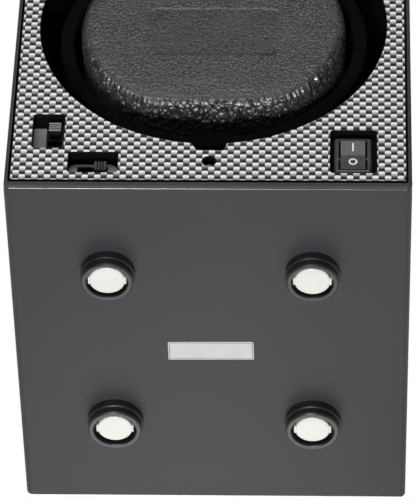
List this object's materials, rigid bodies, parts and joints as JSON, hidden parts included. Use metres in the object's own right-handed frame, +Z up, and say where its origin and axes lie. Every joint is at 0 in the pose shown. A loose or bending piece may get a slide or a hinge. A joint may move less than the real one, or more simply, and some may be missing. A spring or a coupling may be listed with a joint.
{
  "type": "watch winder box",
  "caption": "Free-standing watch winder: a box with a woven-pattern front and a round opening, where a motor turns a lined drum that holds a removable watch cushion.",
  "frame": {"origin": "on the floor under the middle of the box: centre of the bounding box in X and Y, the ends of the feet at z = 0", "axes": "+Z up, the front with the round opening faces -Y, +X to the right seen from the front"},
  "size_m": [0.125, 0.1426, 0.1445],
  "materials": {
    "board_green": "solder mask",
    "brass": "turned",
    "capacitor_blue": "sleeve",
    "case_grey": "matt fine grain",
    "chassis_black": "matt black",
    "cup_black": "satin black",
    "dark_frame": "black passivated",
    "dark_screw": "blackened",
    "felt_black": "short felt",
    "foam_grey": "open foam",
    "foot_black": "satin moulded",
    "gear_white": "natural acetal",
    "inner_grey": "as moulded",
    "label_white": "satin film",
    "lamp_clear": "clear lens",
    "leather_black": "fine grain, satin",
    "legend_grey": "plain film",
    "off_white": "smooth off-white",
    "rocker_black": "satin black",
    "switch_black": "moulded black",
    "switch_steel": "nickel plated, stamped",
    "wire_grey": "two-core insulation",
    "wire_red": "insulation",
    "woven_panel": "plain weave pattern under clear gloss",
    "zinc_steel": "zinc plated"
  },
  "bodies": {
    "case": {"blank_label": "label_white", "board_screws": "zinc_steel", "bulkhead": "inner_grey", "capacitor": "capacitor_blue", "case_shell": "case_grey", "chassis": "chassis_black", "chassis_screws": "zinc_steel", "control_board": "board_green", "controller_chip": "switch_black", "dc_inlet_body": "switch_black", "dc_inlet_nut": "zinc_steel", "dc_inlet_pin": "brass", "direction_switch_body": "switch_black", "direction_switch_frame": "switch_steel", "foot_inserts": "off_white", "foot_nuts": "zinc_steel", "foot_rings": "foot_black", "front_panel": "woven_panel", "indicator_lamp": "lamp_clear", "lamp_holder": "switch_black", "lamp_leads": "zinc_steel", "motor_bracket": "zinc_steel", "motor_can": "zinc_steel", "motor_end_cap": "gear_white", "motor_gearbox": "zinc_steel", "motor_leads": "wire_red", "motor_post_screws": "zinc_steel", "motor_posts": "brass", "motor_screws": "zinc_steel", "motor_terminals": "brass", "rear_cover": "case_grey", "rocker_switch_body": "rocker_black", "rocker_terminals": "brass", "shaft_bushes": "brass", "supply_leads": "wire_red", "switch_leads": "wire_grey", "switch_screws": "zinc_steel", "switch_terminals": "brass", "tie_screws": "dark_screw", "turns_legend_plate": "legend_grey", "turns_switch_body": "switch_black", "turns_switch_frame": "dark_frame", "wire_sockets": "gear_white"},
    "drum": {"drum_cup": "cup_black", "drum_liner": "felt_black", "cushion_seat": "foam_grey", "drum_shaft": "zinc_steel", "thrust_washers": "gear_white", "drum_gear": "gear_white", "gear_grub_screw": "zinc_steel", "shaft_clip": "zinc_steel"},
    "cushion": {"cushion_cover": "leather_black", "cushion_foam": "foam_grey", "cushion_back_plate": "inner_grey"},
    "pinion": {"motor_shaft": "zinc_steel", "motor_pinion": "brass"},
    "rocker": {"rocker_paddle": "rocker_black", "rocker_marks": "off_white"},
    "turns_knob": {"turns_switch_knob": "switch_black"},
    "direction_knob": {"direction_switch_knob": "switch_black"}
  },
  "joints": [
    {"name": "drum_spin", "type": "hinge", "parent": "case", "child": "drum", "pos_m": [0, 0, 0.0813], "axis": [0, 1, 0], "continuous": true},
    {"name": "pinion_spin", "type": "hinge", "parent": "case", "child": "pinion", "pos_m": [0.02267, 0, 0.05863], "axis": [0, 1, 0], "continuous": true},
    {"name": "cushion_pull", "type": "slide", "parent": "drum", "child": "cushion", "axis": [0, -1, 0], "range_m": [0, 0.05]},
    {"name": "rocker_tilt", "type": "hinge", "parent": "case", "child": "rocker", "pos_m": [0.04442, -0.0666, 0.0229], "axis": [-1, 0, 0], "range_deg": [0, 10]},
    {"name": "turns_slide", "type": "slide", "parent": "case", "child": "turns_knob", "axis": [0, 0, 1], "range_m": [-0.0072, 0]},
    {"name": "direction_slide", "type": "slide", "parent": "case", "child": "direction_knob", "axis": [1, 0, 0], "range_m": [-0.005, 0]}
  ],
  "couplings": [
    {"joint": "pinion_spin", "follows": "drum_spin", "ratio": -3}
  ]
}
